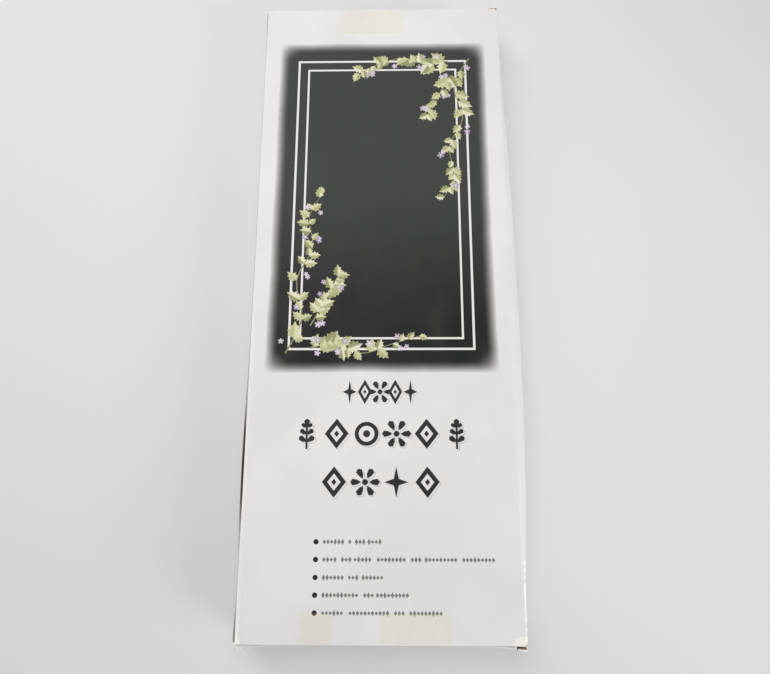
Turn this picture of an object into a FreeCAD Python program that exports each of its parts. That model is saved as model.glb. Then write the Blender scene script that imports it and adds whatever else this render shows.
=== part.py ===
import FreeCAD, Part
import math
import os

# A shallow printed carton of thin corrugated board, lying on its back with its front panel up.
# X runs across the carton, Y along it towards the far end, and Z up. All sizes are millimetres.

# The folded board
board = 1.8  # one thickness
fold_radius = 2.6  # outside of a crease
fit = 0.3  # free play where one piece of board lies along another

# The carton
front_width = 240.0  # front panel, from its free left edge to the right crease
front_length = 611.0  # front panel, from end to end
carton_depth = 50.0
corner_radius = 4.0  # right corners of the front, where the crease ends
free_corner_radius = 1.5  # left corners of the front, cut by the die

# The long sides
wall_lean = 50.0  # degrees that the right side leaves its creases at, where it bulges most
wall_fullest_at = -70.0  # place of that along Y
wall_fullness = 2.5  # power of the bulge along the side: higher keeps it full for longer
wall_least_lean = 0.5  # what is left of the lean at the side's ends
seam_step = 1.4  # the left fold stands this far outside the front's free edge
seam_gape = 1.8  # and this much further where the seam gapes most
seam_gape_at = -160.0  # place of that along Y
seam_gape_half = 130.0  # half the length that gapes
glue_flap_width = 32.0
glue_flap_short = 24.0  # the glue flap ends this far inside the front's ends
glue_flap_taper = 18.0

# The ends, which hinge at the back panel and tuck in under the front
end_stand = 0.4  # the closure's face stands this far outside the front's end
closure_play = 0.5  # beside the closure, each way
crease_gap = 0.15  # between two panels at a crease
tuck_reach = 18.0
tuck_drop = 0.8  # room for the tuck to slide out under the front
tuck_short = 9.0  # the tuck ends this far inside the carton's sides
tuck_corner = 10.0
shoulder_play = 0.8  # beside the tuck, where the closure's shoulders start
spring_run = 50.0  # length of a closure's corner that has sprung outwards
corner_spring = 4.2  # how far it has sprung at the top
calm_spring = 0.6  # the same at the one corner that stayed shut

# The dust flaps, which hinge at the long sides
dust_reach = 42.0
dust_play = 0.4  # between a dust flap and the closure
dust_drop = 2.6  # below the tuck
dust_rise = 1.0  # above the crease at the back
dust_taper = 5.0
dust_corner = 6.0

# Strips of clear tape over the ends, slit at the fold
tape_thickness = 0.2
tape_on_end = 27.0
tape_fold_gap = 1.5  # bare fold between the two parts of a slit strip
# Each strip is a width, its place between the sprung corners, from 0 at their left to 1 at their right, and
# its reach on the front.
top_tape = (61.0, 0.377, 29.0)
bottom_left_tape = (27.0, 0.026, 25.0)
bottom_right_tape = (58.0, 0.848, 25.0)

# Places that follow from the sizes
right = front_width / 2
left = -(front_width / 2 + seam_step)
front_end = front_length / 2
closure_face = front_end + end_stand
closure_axis_y = closure_face - board / 2
closure_axis_z = board / 2
closure_inside = closure_face - board
back_end = closure_inside - crease_gap
dust_face = closure_inside - dust_play
side_end = dust_face
tuck_under = carton_depth - 2 * board - tuck_drop
closure_left = left + closure_play
closure_right = right - closure_play
tuck_left = left + tuck_short
tuck_right = right - tuck_short
shoulder_top = carton_depth - board - fit
section_count = 13


def bulge_depth(lean):
    # Distance that a side leaning out by this many degrees at its creases reaches past them.
    a = math.radians(lean)
    rise = carton_depth / 2 - fold_radius + fold_radius * math.sin(a)
    return fold_radius * math.cos(a) + rise * math.tan(a / 2) - fold_radius


# The model is built about the middle of the front and moved so that X is 0 at the middle of it all.
middle = (right + bulge_depth(wall_lean) + left - seam_gape) / 2


def point(x, y, z):
    return FreeCAD.Vector(x, y, z)


def arc_at(y, centre_x, centre_z, radius, start, end):
    # Arc in the cross-section at Y, between two directions in degrees from +X towards +Z.
    def on_arc(degrees):
        a = math.radians(degrees)
        return point(centre_x + radius * math.cos(a), y, centre_z + radius * math.sin(a))

    return Part.Arc(on_arc(start), on_arc((start + end) / 2), on_arc(end)).toShape()


def closed_section(edges):
    # Joins the edges in order with straight lines wherever one doesn't start at the last one's end.
    joined = []
    for edge, following in zip(edges, edges[1:] + edges[:1]):
        joined.append(edge)
        here = edge.lastVertex(True).Point
        there = following.firstVertex(True).Point
        if here.distanceToPoint(there) > 1e-7:
            joined.append(Part.makeLine(here, there))
    return Part.Wire(joined)


def plate(x0, x1, y0, y1, z0, z1):
    return Part.makeBox(x1 - x0, y1 - y0, z1 - z0, point(x0, y0, z0))


def corner_tool(x, y, radius, toward_x, toward_y):
    # What lies outside a rounded corner of the given radius, whose tip is at x, y.
    reach = radius + board
    centre_x = x - toward_x * radius
    centre_y = y - toward_y * radius
    low_x = min(centre_x, centre_x + toward_x * reach)
    low_y = min(centre_y, centre_y + toward_y * reach)
    height = carton_depth + 2 * board
    block = Part.makeBox(reach, reach, height, point(low_x, low_y, -board))
    return block.cut(Part.makeCylinder(radius, height, point(centre_x, centre_y, -board)))


def round_ends(shape, x, y, radius, toward_x):
    for toward_y in (-1, 1):
        shape = shape.cut(corner_tool(x, toward_y * y, radius, toward_x, toward_y))
    return shape


def front_panel():
    flat = plate(-front_width / 2, right - fold_radius, -front_end, front_end,
                 carton_depth - board, carton_depth)
    flat = round_ends(flat, right, front_end, corner_radius, 1)
    return round_ends(flat, -front_width / 2, front_end, free_corner_radius, -1)


def back_panel():
    return plate(left + fold_radius, right - fold_radius, -back_end, back_end, 0, board)


def stations(half_length):
    return [half_length * (2 * i / (section_count - 1) - 1) for i in range(section_count)]


def lean_at(y):
    # The wall's lean at Y, which fades from where it is fullest to each end.
    end = side_end if y > wall_fullest_at else -side_end
    share = (y - wall_fullest_at) / (end - wall_fullest_at)
    return max(wall_lean * (1 - share ** wall_fullness), wall_least_lean)


def right_side_panel():
    # Two creases joined by a wall that bulges outwards and is flat at its ends.
    crease_x = right - fold_radius
    top_z = carton_depth - fold_radius
    wires = []
    for y in stations(side_end):
        lean = lean_at(y)
        sine = math.sin(math.radians(lean))
        radius = (carton_depth / 2 - fold_radius) / sine + fold_radius
        centre_x = crease_x + (fold_radius - radius) * math.cos(math.radians(lean))
        outer = [
            arc_at(y, crease_x, top_z, fold_radius, 90, lean),
            arc_at(y, centre_x, carton_depth / 2, radius, lean, -lean),
            arc_at(y, crease_x, fold_radius, fold_radius, -lean, -90),
        ]
        inner = [
            arc_at(y, crease_x, fold_radius, fold_radius - board, -90, -lean),
            arc_at(y, centre_x, carton_depth / 2, radius - board, -lean, lean),
            arc_at(y, crease_x, top_z, fold_radius - board, lean, 90),
        ]
        wires.append(closed_section(outer + inner))
    wall = Part.makeLoft(wires, True, False)
    return round_ends(wall, right, front_end, corner_radius, 1)


def gape(y):
    # How far the left fold has moved out at Y.
    share = (y - seam_gape_at) / seam_gape_half
    return seam_gape * max(1 - share * share, 0) ** 2


def left_side_panel():
    # The lower crease is straight and the upper one, under the front's edge, bows out with the seam.
    crease_x = left + fold_radius
    top_z = carton_depth - board - fold_radius
    wires = []
    for y in stations(side_end):
        shift = gape(y)
        lean = math.degrees(math.atan2(shift, top_z - fold_radius))
        side = 180 + lean
        outer = [
            arc_at(y, crease_x, fold_radius, fold_radius, 270, side),
            arc_at(y, crease_x - shift, top_z, fold_radius, side, 90),
        ]
        inner = [
            arc_at(y, crease_x - shift, top_z, fold_radius - board, 90, side),
            arc_at(y, crease_x, fold_radius, fold_radius - board, side, 270),
        ]
        wires.append(closed_section(outer + inner))
    wall = Part.makeLoft(wires, True, False)
    return round_ends(wall, left, side_end, fold_radius, -1)


def glue_flap():
    # Lies glued under the front's free edge. Its outer edge follows the left fold.
    half = front_end - glue_flap_short
    low = carton_depth - 2 * board
    high = carton_depth - board
    free_edge = left + glue_flap_width
    wires = []
    for y in stations(half):
        start = left + fold_radius - gape(y) + crease_gap
        corners = [point(start, y, low), point(free_edge, y, low), point(free_edge, y, high),
                   point(start, y, high), point(start, y, low)]
        wires.append(Part.makePolygon(corners))
    flap = Part.makeLoft(wires, True, False)
    for end in (-1, 1):
        root = left + fold_radius + board
        corners = [point(free_edge + board, end * (half - glue_flap_taper), low - board),
                   point(root, end * half, low - board),
                   point(root, end * (half + board), low - board),
                   point(free_edge + board, end * (half + board), low - board)]
        outline = Part.Face(Part.makePolygon(corners + corners[:1]))
        flap = flap.cut(outline.extrude(point(0, 0, 4 * board)))
    return flap


def spring_line(y, height, left_spring, right_spring):
    # Points across a closure at one height, from left to right, in plan.
    share = (height - closure_axis_z) / (shoulder_top - closure_axis_z)
    return [
        point(closure_left, y + left_spring * share, height),
        point(closure_left + spring_run, y, height),
        point(closure_right - spring_run, y, height),
        point(closure_right, y + right_spring * share, height),
    ]


def closure(left_spring, right_spring):
    # Rises from a straight rounded crease. The corners beside the tuck have sprung outwards.
    wires = []
    for height in (closure_axis_z, shoulder_top):
        outer = spring_line(closure_face, height, left_spring, right_spring)
        inner = spring_line(closure_inside, height, left_spring, right_spring)
        corners = outer + inner[::-1]
        wires.append(Part.makePolygon(corners + corners[:1]))
    panel = Part.makeLoft(wires, True, True)
    width = closure_right - closure_left
    crease = Part.makeCylinder(board / 2, width, point(closure_left, closure_axis_y, closure_axis_z),
                               point(1, 0, 0))
    crease = crease.cut(plate(closure_left, closure_right, closure_inside, closure_face,
                              closure_axis_z, board))
    notch = plate(tuck_left - shoulder_play, tuck_right + shoulder_play,
                  closure_inside - board, closure_face + 2 * corner_spring,
                  tuck_under - crease_gap, carton_depth)
    return panel.fuse(crease).removeSplitter().cut(notch)


def tuck_flap(left_spring, right_spring):
    # A tongue with rounded corners whose folded edge follows the closure's top.
    line = spring_line(closure_face, tuck_under, left_spring, right_spring)
    left_share = (tuck_left - closure_left) / spring_run
    right_share = (closure_right - tuck_right) / spring_run
    line[0] = line[0] + (line[1] - line[0]) * left_share
    line[3] = line[3] + (line[2] - line[3]) * right_share
    tip = closure_inside - tuck_reach
    bend = tip + tuck_corner
    slant = tuck_corner * (1 - math.sqrt(0.5))
    z = tuck_under
    edges = [Part.makeLine(a, b) for a, b in zip(line, line[1:])]
    edges.append(Part.makeLine(line[3], point(tuck_right, bend, z)))
    edges.append(Part.Arc(point(tuck_right, bend, z), point(tuck_right - slant, tip + slant, z),
                          point(tuck_right - tuck_corner, tip, z)).toShape())
    edges.append(Part.makeLine(point(tuck_right - tuck_corner, tip, z),
                               point(tuck_left + tuck_corner, tip, z)))
    edges.append(Part.Arc(point(tuck_left + tuck_corner, tip, z), point(tuck_left + slant, tip + slant, z),
                          point(tuck_left, bend, z)).toShape())
    edges.append(Part.makeLine(point(tuck_left, bend, z), line[0]))
    tongue = Part.Face(Part.Wire(edges)).extrude(point(0, 0, board))
    folded = []
    for edge in tongue.Edges:
        lowest = min(v.Z for v in edge.Vertexes)
        nearest = min(v.Y for v in edge.Vertexes)
        if lowest > tuck_under + board / 2 and nearest > closure_face - board / 2:
            folded.append(edge)
    return tongue.makeFillet(0.8 * board, folded)


def dust_flap(side):
    # side is 1 at the right and -1 at the left. The outline narrows towards its rounded free end.
    root = right - board - fit if side > 0 else left + board + fit
    tip = root - side * dust_reach
    low = fold_radius + dust_rise
    high = tuck_under - dust_drop
    y = dust_face - board
    corners = [point(root, y, low), point(root, y, high),
               point(tip, y, high - dust_taper), point(tip, y, low + dust_taper)]
    outline = Part.Face(Part.makePolygon(corners + corners[:1]))
    flap = outline.extrude(point(0, board, 0))
    tips = [edge for edge in flap.Edges
            if all(abs(v.X - tip) < 1e-6 for v in edge.Vertexes) and edge.Length < 2 * board]
    return flap.makeFillet(dust_corner, tips)


def tape_edges(strip):
    width, place = strip[:2]
    first = closure_left + spring_run
    room = closure_right - spring_run - first - width
    return first + place * room, first + place * room + width


def tape_on_panel(strip):
    start, end = tape_edges(strip)
    reach = strip[2]
    return plate(start, end, front_end - reach, front_end, carton_depth, carton_depth + tape_thickness)


def tape_on_closure(strip):
    start, end = tape_edges(strip)
    top = tuck_under - tape_fold_gap
    return plate(start, end, closure_face, closure_face + tape_thickness, top - tape_on_end, top)


def at_bottom(shape):
    # The same piece at the near end.
    return shape.mirror(point(0, 0, 0), point(0, 1, 0))


pieces = {
    "front_panel": front_panel(),
    "back_panel": back_panel(),
    "left_side_panel": left_side_panel(),
    "right_side_panel": right_side_panel(),
    "glue_flap": glue_flap(),
    "top_closure": closure(calm_spring, corner_spring),
    "top_tuck_flap": tuck_flap(calm_spring, corner_spring),
    "top_left_dust_flap": dust_flap(-1),
    "top_right_dust_flap": dust_flap(1),
    "top_front_tape": tape_on_panel(top_tape),
    "top_end_tape": tape_on_closure(top_tape),
    "bottom_closure": at_bottom(closure(corner_spring, corner_spring)),
    "bottom_tuck_flap": at_bottom(tuck_flap(corner_spring, corner_spring)),
    "bottom_left_dust_flap": at_bottom(dust_flap(-1)),
    "bottom_right_dust_flap": at_bottom(dust_flap(1)),
    "bottom_left_front_tape": at_bottom(tape_on_panel(bottom_left_tape)),
    "bottom_left_end_tape": at_bottom(tape_on_closure(bottom_left_tape)),
    "bottom_right_front_tape": at_bottom(tape_on_panel(bottom_right_tape)),
    "bottom_right_end_tape": at_bottom(tape_on_closure(bottom_right_tape)),
}

os.makedirs("parts", exist_ok=True)
for name, shape in pieces.items():
    shape.translate(point(-middle, 0, 0))
    shape.exportStep("parts/" + name + ".step")
    print(name, "valid", shape.isValid(), "solids", len(shape.Solids), "volume", round(shape.Volume))

print("middle of the front at x", round(-middle, 4), "bulge", round(bulge_depth(wall_lean), 3))
print("closure axis y", round(closure_axis_y, 4), "z", round(closure_axis_z, 4))
print("tuck axis y", round(closure_inside, 4), "z", round(tuck_under, 4))
print("dust axes x", round(left + board + fit - middle, 4), round(right - board - fit - middle, 4),
      "y", round(dust_face - board, 4))
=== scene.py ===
import bmesh
import bpy
import random
from functools import partial
from math import atan2, copysign, cos, degrees, exp, hypot, pi, radians, sin, sqrt
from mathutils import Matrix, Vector, noise
from mathutils.geometry import delaunay_2d_cdt


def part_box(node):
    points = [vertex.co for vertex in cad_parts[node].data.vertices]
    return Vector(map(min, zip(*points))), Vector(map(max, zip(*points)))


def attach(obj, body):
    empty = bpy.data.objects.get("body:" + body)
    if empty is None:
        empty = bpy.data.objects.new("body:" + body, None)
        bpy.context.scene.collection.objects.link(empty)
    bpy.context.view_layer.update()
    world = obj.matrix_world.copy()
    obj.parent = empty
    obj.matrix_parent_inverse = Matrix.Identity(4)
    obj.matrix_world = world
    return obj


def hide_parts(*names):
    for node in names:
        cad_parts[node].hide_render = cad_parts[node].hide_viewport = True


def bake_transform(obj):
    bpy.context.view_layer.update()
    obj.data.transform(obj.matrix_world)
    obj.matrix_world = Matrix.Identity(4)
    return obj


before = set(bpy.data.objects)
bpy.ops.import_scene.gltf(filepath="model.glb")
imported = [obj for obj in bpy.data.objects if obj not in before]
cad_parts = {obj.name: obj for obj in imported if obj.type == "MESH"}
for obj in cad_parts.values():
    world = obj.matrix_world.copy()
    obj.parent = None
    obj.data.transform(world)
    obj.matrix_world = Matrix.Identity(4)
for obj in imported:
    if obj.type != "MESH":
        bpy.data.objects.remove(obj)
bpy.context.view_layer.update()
mm = 0.001


def boxMm(node):
    return [[c / mm for c in corner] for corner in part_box(node)]


# The folded blank in millimetres: its board's measures, then those from the CAD nodes' boxes.
carton = {"fold": 2.6, "liner": 0.3, "pitch": 3.4, "paper": 0.2}
foldRadius, liner = carton["fold"], carton["liner"]
frontLow, frontHigh = boxMm("front_panel")
backLow, backHigh = boxMm("back_panel")
closureLow, closureHigh = boxMm("top_closure")
tuckLow, tuckHigh = boxMm("top_tuck_flap")
dustLow, dustHigh = boxMm("top_right_dust_flap")
frontLeft, creaseX = frontLow[0], frontHigh[0]
outerLeft, outerRight = backLow[0] - foldRadius, creaseX + foldRadius
middleX = (frontLeft + outerRight) / 2
frontEnd, backEnd, sideEnd = frontHigh[1], backHigh[1], boxMm("right_side_panel")[1][1]
top, board = frontHigh[2], frontHigh[2] - frontLow[2]


def ease(a, b, x):
    t = min(max((x - a) / (b - a), 0.0), 1.0)
    return t * t * (3 - 2 * t)


def linearColour(code, alpha=1.0):
    channels = [int(code[i:i + 2], 16) / 255 for i in (1, 3, 5)]
    return tuple(c / 12.92 if c <= 0.04045 else ((c + 0.055) / 1.055) ** 2.4 for c in channels) + (alpha,)


def rough(x, y, scale, seed):
    # Smooth noise from -1 to 1.
    return noise.noise(Vector((x / scale, y / scale, seed)))


def toMetres(p):
    return Vector([c * mm for c in p])


def link(obj):
    bpy.context.scene.collection.objects.link(obj)
    return obj


def newObject(name, bm, materials, sharpAngle=35):
    mesh = bpy.data.meshes.new(name)
    bm.to_mesh(mesh)
    bm.free()
    for material in materials:
        mesh.materials.append(material)
    mesh.shade_smooth()
    mesh.set_sharp_from_angle(angle=radians(sharpAngle))
    return link(bpy.data.objects.new(name, mesh))


def feed(tree, socket, value):
    # Gives a socket a number, a colour code or a link.
    if isinstance(value, str):
        value = linearColour(value)
    if isinstance(value, (int, float, tuple)):
        socket.default_value = value
    elif value is not None:
        tree.links.new(value, socket)


def addNode(tree, kind, inputs=None, family="ShaderNode", **properties):
    made = tree.nodes.new(family + kind)
    for key, value in properties.items():
        setattr(made, key, value)
    for key, value in (inputs or {}).items():
        feed(tree, made.inputs[key], value)
    return made


def addMath(tree, operation, a, b=None, clamp=False):
    return addNode(tree, "Math", {0: a, 1: b}, operation=operation, use_clamp=clamp).outputs[0]


def maths(tree):
    return [partial(addMath, tree, operation) for operation in ("ADD", "SUBTRACT", "MULTIPLY")]


def addMix(tree, factor, a, b):
    return addNode(tree, "Mix", {0: factor, 6: a, 7: b}, data_type="RGBA").outputs[2]


def newMaterial(name):
    material = bpy.data.materials.new(name)
    material.use_nodes = True
    tree = material.node_tree
    return material, tree, addNode(tree, "TexCoord").outputs["Object"]


def dress(tree, inputs):
    for key, value in inputs.items():
        feed(tree, tree.nodes["Principled BSDF"].inputs[key], value)


def addNoise(tree, place, sizeMm, detail, stretch=None):
    # Noise whose features are about sizeMm across.
    if stretch:
        place = addNode(tree, "Mapping", {"Scale": stretch, "Vector": place}).outputs[0]
    inputs = {"Scale": 1 / (sizeMm * mm), "Detail": detail, "Vector": place}
    return addNode(tree, "TexNoise", inputs).outputs["Fac"]


def addRamp(tree, factor, low, high, fromValue=0.0, toValue=1.0):
    inputs = {"Value": factor, "From Min": low, "From Max": high, "To Min": fromValue, "To Max": toValue}
    return addNode(tree, "MapRange", inputs, interpolation_type="SMOOTHSTEP").outputs[0]


def addBump(tree, height, strength, distanceMm, normal=None):
    inputs = {"Height": height, "Strength": strength, "Distance": distanceMm * mm, "Normal": normal}
    return addNode(tree, "Bump", inputs).outputs[0]


# The picture's place, edge, inks and painted reflection, then the coat, the brown board and the tape's film.

picture = {
    "centre": (-0.3, 92.5), "half": (105.3, 172.3), "fade": 11.8, "softness": 2.3, "ragged": 4.0,
    "corner": (-10.0, 24.0, 0.2), "narrowing": 0.0085, "reflectionFrom": -45.0, "reflectionTo": 120.0,
    "topInkPaintedReflection": "#3C3E3B", "bottomInk": "#151616", "lift": "#42433E", "liftShare": 0.35,
}
coat = {
    "light": "#E6E4E2", "dark": "#E1DFDE", "cream": "#F3EFE7", "brown": "#B39470", "rub": "#FDFCFA",
    "cloud": 70, "grain": 1.6, "ragged": 0.7, "worn": (0.02, 0.12), "chips": (0.42, 0.5), "torn": (1.05, 1.2),
    "roughness": (0.42, 0.52), "bareRoughness": 0.4, "rubShine": (0.5, 1.0, 0.15),
}
kraft = {"light": "#AB957B", "dark": "#907D66", "fibre": "#776550", "seam": "#4A2C1A"}
film = {"light": "#FBEFB4", "dark": "#F6E6A6", "cover": (0.045, 0.06), "roughness": (0.12, 0.3)}


def addPicture(tree, place, cloud, white):
    # A dark panel with soft, ragged edges, painted lighter towards its top as a reflection, and the drawn ink
    # over it.
    plus, minus, times = maths(tree)
    x, y, _ = addNode(tree, "SeparateXYZ", {0: place}).outputs
    upwards = minus(y, picture["centre"][1] * mm)
    widen = plus(times(upwards, picture["narrowing"] / (picture["half"][1] * mm)), 1.0)
    across = times(minus(x, (picture["centre"][0] + middleX) * mm), widen)
    ragged = times(minus(cloud, 0.5), picture["ragged"] * mm)
    inside, covers = [], []
    for half, away in zip(picture["half"], (across, upwards)):
        depth = plus(minus(half * mm, addMath(tree, "ABSOLUTE", away)), ragged)
        inside.append(addMath(tree, "MAXIMUM", depth, 0.0))
        bare = minus(1.0, addMath(tree, "DIVIDE", inside[-1], picture["fade"] * mm), clamp=True)
        covers.append(minus(1.0, addMath(tree, "POWER", bare, picture["softness"])))
    span = addNode(tree, "CombineXYZ", {0: inside[0], 1: inside[1]}).outputs[0]
    length = addNode(tree, "VectorMath", {0: span}, operation="LENGTH").outputs["Value"]
    near, far, least = picture["corner"]
    corner = addRamp(tree, length, near * mm, far * mm, least)
    # Painted reflection: the panel lightens from its bottom ink towards the top; the haze noise lifts it in
    # patches.
    along = addRamp(tree, y, picture["reflectionFrom"] * mm, picture["reflectionTo"] * mm)
    haze = addNoise(tree, place, 55, 4, (1.0, 0.55, 1.0))
    dark = addMix(tree, along, picture["bottomInk"], picture["topInkPaintedReflection"])
    lift = addMix(tree, addRamp(tree, haze, 0.45, 0.75), dark, picture["lift"])
    shade = addMix(tree, picture["liftShare"], dark, lift)
    colour = addMix(tree, times(times(*covers), corner), white, shade)
    ink = addNode(tree, "Attribute", attribute_name="ink").outputs
    return addMix(tree, ink["Alpha"], colour, ink["Color"])


def coatedBoard(name, printed):
    # White clay-coated liner with a satin varnish; the front also carries the print.
    material, tree, place = newMaterial(name)
    plus, minus, times = maths(tree)
    cloud = addNoise(tree, place, coat["cloud"], 3)
    fine = addNoise(tree, place, coat["grain"], 3)
    colour = addMix(tree, addRamp(tree, cloud, 0.35, 0.65), coat["light"], coat["dark"])
    if printed:
        colour = addPicture(tree, place, cloud, colour)
    wear, bare, rub = [addNode(tree, "Attribute", attribute_name=label).outputs["Fac"]
                       for label in ("wear", "bare", "rub")]
    ragged = plus(wear, times(minus(fine, 0.5), coat["ragged"]))
    worn = addRamp(tree, wear, *coat["worn"])
    chips, torn = [times(addRamp(tree, ragged, *coat[label]), worn) for label in ("chips", "torn")]
    colour = addMix(tree, chips, colour, coat["cream"])
    colour = addMix(tree, torn, colour, coat["brown"])
    # Painted shade: the bare share turns deep brown in the left seam's gap and along the tuck's line.
    colour = addMix(tree, bare, colour, kraft["seam"])
    # Painted highlight: near-white on the free edge and along the right crease.
    colour = addMix(tree, rub, colour, coat["rub"])
    gloss = addRamp(tree, cloud, 0.3, 0.7, *coat["roughness"])
    dull = times(addMath(tree, "MAXIMUM", chips, bare), coat["bareRoughness"])
    # A faint washboard over the flutes; a wave texture of scale 0.314 repeats every metre.
    waves = {"Scale": 0.314 / (carton["pitch"] * mm), "Distortion": 0.2, "Vector": place}
    wash = addNode(tree, "TexWave", waves, bands_direction="X").outputs["Fac"]
    wavy = addBump(tree, cloud, 0.25, 1.2, addBump(tree, wash, 0.05, 0.12))
    dress(tree, {"Base Color": colour, "Specular IOR Level": addRamp(tree, rub, *coat["rubShine"]),
                 "Roughness": plus(gloss, dull), "Normal": addBump(tree, fine, 0.08, 0.06, wavy)})
    return material


def kraftPaper(name, light, dark):
    # Unbleached brown paper with darker fibres.
    material, tree, place = newMaterial(name)
    fibre = addNoise(tree, place, 1.2, 5, (1.0, 0.25, 1.0))
    colour = addMix(tree, addNoise(tree, place, 30, 4), light, dark)
    colour = addMix(tree, addRamp(tree, fibre, 0.56, 0.7), colour, kraft["fibre"])
    dress(tree, {"Base Color": colour, "Roughness": 0.85, "Normal": addBump(tree, fibre, 0.25, 0.08)})
    return material


def clearTape(name):
    # Clear packing tape: a glossy film, faintly yellow, with dull bubbles under it.
    material, tree, place = newMaterial(name)
    bubble = addNoise(tree, place, 7, 4, (1.0, 0.3, 1.0))
    crease = addNoise(tree, place, 3, 3, (0.35, 1.0, 1.0))
    dress(tree, {"Base Color": addMix(tree, bubble, film["light"], film["dark"]),
                 "Alpha": addRamp(tree, bubble, 0.45, 0.62, *film["cover"]),
                 "Roughness": addRamp(tree, bubble, 0.4, 0.6, *film["roughness"]),
                 "Normal": addBump(tree, crease, 0.3, 0.3)})
    return material


printedFront = coatedBoard("coated board, printed", True)
whiteBoard = coatedBoard("coated board, white", False)
kraftLiner = kraftPaper("kraft liner", kraft["light"], kraft["dark"])
fluteCore = kraftPaper("kraft flutes", "#BE9A70", "#A58157")
cutEdge = kraftPaper("cut board edge", "#DCCDB4", "#CDBB9D")
tapeFilm = clearTape("packing tape")
boardMaterials = [whiteBoard, kraftLiner, fluteCore, cutEdge]
print("materials made")


def fluteTree():
    # The fluted core, as one Geometry Nodes tree.
    tree = bpy.data.node_groups.new("flutes", "GeometryNodeTree")
    for label in ("Width", "Columns", "Rows", "Pitch", "Rise", "Paper", "Material"):
        kind = {"Columns": "Int", "Rows": "Int", "Material": "Material"}.get(label, "Float")
        tree.interface.new_socket(label, in_out="INPUT", socket_type="NodeSocket" + kind)
    tree.interface.new_socket("Geometry", in_out="OUTPUT", socket_type="NodeSocketGeometry")
    given = tree.nodes.new("NodeGroupInput").outputs

    def step(kind, inputs=None, family="GeometryNode", **properties):
        return addNode(tree, kind, inputs, family, **properties).outputs[0]

    grid = step("MeshGrid", {"Size X": given["Width"], "Size Y": 1.0, "Vertices X": given["Columns"],
                             "Vertices Y": given["Rows"]})
    x = step("SeparateXYZ", {0: step("InputPosition")}, "ShaderNode")
    times = maths(tree)[2]
    turn = addMath(tree, "DIVIDE", times(x, 2 * pi), given["Pitch"])
    height = times(addMath(tree, "SINE", turn), given["Rise"])
    lift, thick = [step("CombineXYZ", {"Z": z}, "ShaderNode") for z in (height, given["Paper"])]
    wave = step("SetPosition", {"Geometry": grid, "Offset": lift})
    up = {"Mesh": wave, "Offset": thick, "Individual": False}
    raised = step("ExtrudeMesh", up, mode="FACES")
    joined = addNode(tree, "JoinGeometry", family="GeometryNode")
    for part in (step("FlipFaces", {"Mesh": wave}), raised):
        tree.links.new(part, joined.inputs[0])
    merged = step("MergeByDistance", {"Geometry": joined.outputs[0], "Distance": 1e-6})
    real = step("RealizeInstances", {"Geometry": merged})
    named = step("SetMaterial", {"Geometry": real, "Material": given["Material"]})
    tree.links.new(named, tree.nodes.new("NodeGroupOutput").inputs[0])
    return tree


flutes = fluteTree()


def coreMesh(widthMm, rows):
    # A flat core as wide as the panel; its length, from -0.5 to 0.5, is stretched later.
    holder = link(bpy.data.objects.new("core", bpy.data.meshes.new("core")))
    modifier = holder.modifiers.new("flutes", "NODES")
    modifier.node_group = flutes
    count = max(2, round(widthMm / carton["pitch"]))
    paper = carton["paper"]
    values = {"Width": widthMm * mm, "Columns": 1 + 8 * count, "Rows": rows, "Pitch": widthMm * mm / count,
              "Rise": (board - 2 * liner - paper) / 2 * mm, "Paper": paper * mm, "Material": fluteCore}
    for item in flutes.interface.items_tree:
        if item.in_out == "INPUT":
            modifier[item.identifier] = values[item.name]
    bpy.context.view_layer.update()
    evaluated = holder.evaluated_get(bpy.context.evaluated_depsgraph_get())
    mesh = bpy.data.meshes.new_from_object(evaluated)
    bpy.data.objects.remove(holder)
    return mesh


def spread(start, end, parts):
    return [start + (end - start) * i / parts for i in range(parts + 1)]


def addSlab(bm, lines, shares, place, depthA, depthB, indices):
    # A closed layer of board between two depths; lines are (u, low v, high v) across the flutes.
    outer, inner = [[[bm.verts.new(toMetres(place(u, low + (high - low) * t, depth))) for t in shares]
                     for u, low, high in lines] for depth in (depthA, depthB)]
    rows, columns = len(lines), len(shares)
    faces = []

    def addFace(corners, index):
        faces.append(bm.faces.new(corners))
        faces[-1].material_index = index

    for layer, index in ((outer, indices[0]), (inner, indices[1])):
        for i in range(rows - 1):
            for j in range(columns - 1):
                addFace((layer[i][j], layer[i + 1][j], layer[i + 1][j + 1], layer[i][j + 1]), index)
    rim = [(i, 0) for i in range(rows)] + [(rows - 1, j) for j in range(1, columns)]
    rim += [(i, columns - 1) for i in range(rows - 2, -1, -1)] + [(0, j) for j in range(columns - 2, 0, -1)]
    for (a, b), (c, d) in zip(rim, rim[1:] + rim[:1]):
        addFace((outer[a][b], outer[c][d], inner[c][d], inner[a][b]), indices[2])
    bmesh.ops.recalc_face_normals(bm, faces=faces)


def valuesAlong(table, at):
    # The table's values at a place, between the two rows beside it.
    for (a, *before), (b, *after) in zip(table, table[1:]):
        if at <= b or b == table[-1][0]:
            t = min(max((at - a) / max(b - a, 1e-9), 0.0), 1.0)
            return [low + (high - low) * t for low, high in zip(before, after)]


def addCore(bm, lines, rows, place, width):
    # The fluted layer, fitted a little short of the panel's ends.
    start, end = lines[0][0], lines[-1][0]
    inset, trim = 0.15, 0.002
    mesh = coreMesh(width, rows)
    count, faceCount = len(bm.verts), len(bm.faces)
    bm.from_mesh(mesh)
    bm.verts.ensure_lookup_table()
    bm.faces.ensure_lookup_table()
    for vertex in bm.verts[count:]:
        u = start + (end - start) * (trim + (1 - 2 * trim) * (vertex.co.x / mm / width + 0.5))
        low, high = valuesAlong(lines, u)
        v = low + inset + (high - low - 2 * inset) * (vertex.co.y + 0.5)
        vertex.co = toMetres(place(u, v, board / 2 - carton["paper"] / 2 + vertex.co.z / mm))
    for face in bm.faces[faceCount:]:
        face.material_index = 2
    bpy.data.meshes.remove(mesh)


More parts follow.
